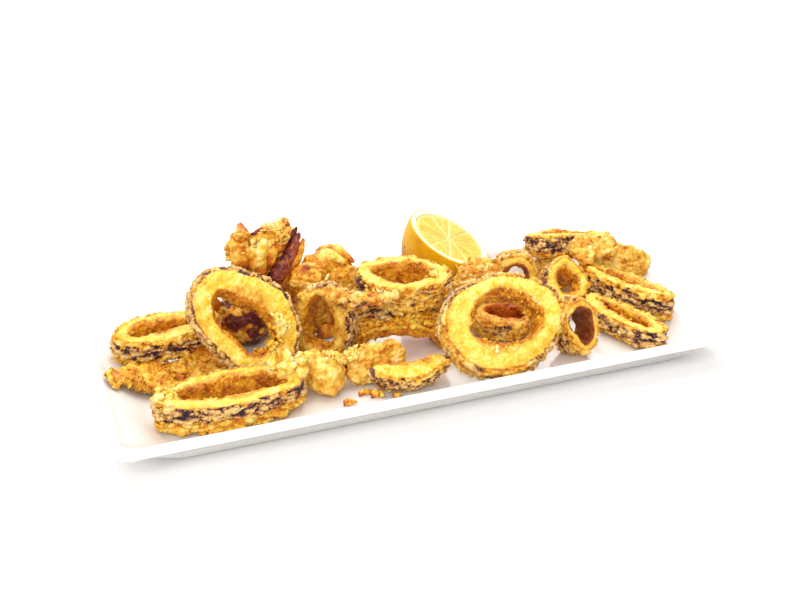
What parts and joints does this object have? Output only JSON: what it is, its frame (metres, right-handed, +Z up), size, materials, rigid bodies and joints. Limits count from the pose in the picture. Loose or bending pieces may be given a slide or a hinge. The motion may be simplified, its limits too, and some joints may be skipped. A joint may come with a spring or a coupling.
{
  "type": "platter of fried calamari",
  "caption": "Long white rectangular porcelain platter of battered fried squid rings, tentacles and fins with a lemon half.",
  "frame": {"origin": "on the table, under the middle of the platter", "axes": "+X along the platter, +Y to its back, +Z up"},
  "size_m": [0.36, 0.168, 0.0749],
  "materials": {
    "porcelain": "glossy white glaze",
    "lemon_peel": "waxy, finely pitted peel with a pale cut rim",
    "lemon_flesh": "wet, translucent segments",
    "fried_batter": "crisp, crumbly, slightly oily batter",
    "fried_tentacle": "dark squid skin under flaky batter"
  },
  "bodies": {
    "root": {"platter": "porcelain", "lemon_peel": "lemon_peel", "lemon_flesh": "lemon_flesh", "fin_left": "fried_tentacle", "ring_front_left": "fried_batter", "ring_left_low": "fried_batter", "tentacles_back": "fried_tentacle", "tentacles_curled": "fried_batter", "ring_upright": "fried_batter", "ring_tall": "fried_batter", "band_front": "fried_batter", "tentacle_strip": "fried_batter", "tentacle_front": "fried_batter", "ring_arched": "fried_batter", "ring_front": "fried_batter", "ring_inner": "fried_batter", "ring_small": "fried_batter", "ring_right_front": "fried_batter", "ring_right_long": "fried_batter", "ring_right_back": "fried_batter", "band_back": "fried_batter", "ring_back": "fried_batter", "fin_folded": "fried_batter", "fin_back": "fried_batter", "batter_lump": "fried_batter", "ring_back_arched": "fried_batter", "ring_top": "fried_batter", "tentacle_scrap": "fried_tentacle"}
  },
  "joints": []
}
